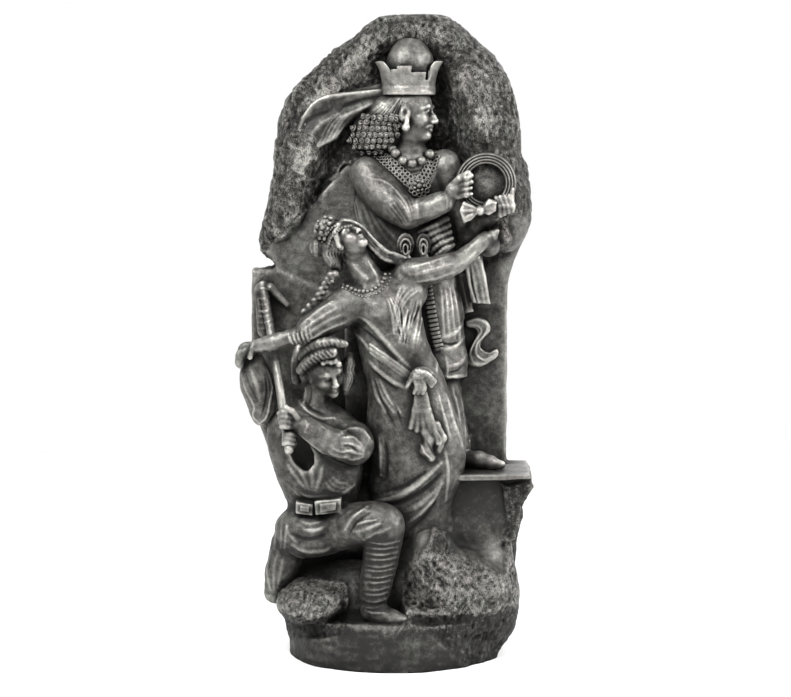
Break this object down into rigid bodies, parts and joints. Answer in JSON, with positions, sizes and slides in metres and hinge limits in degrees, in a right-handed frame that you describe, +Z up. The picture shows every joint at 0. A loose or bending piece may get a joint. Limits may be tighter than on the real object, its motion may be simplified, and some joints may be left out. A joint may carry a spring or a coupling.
{
  "type": "figure group sculpture",
  "caption": "Cast group: a robed king, a leaning lady and a kneeling stonecutter in high relief before a craggy rock on a hewn base.",
  "frame": {"origin": "middle of the flat underside, below the group, on the surface that it stands on", "axes": "+Z up, -Y to the front that the figures face, +X to the viewer's right"},
  "size_m": [0.2324, 0.1341, 0.4992],
  "materials": {
    "casting": "cast resin with a dark aged pewter finish, rubbed bright on its ridges, satin"
  },
  "bodies": {
    "root": {"figure_group": "casting"}
  },
  "joints": []
}
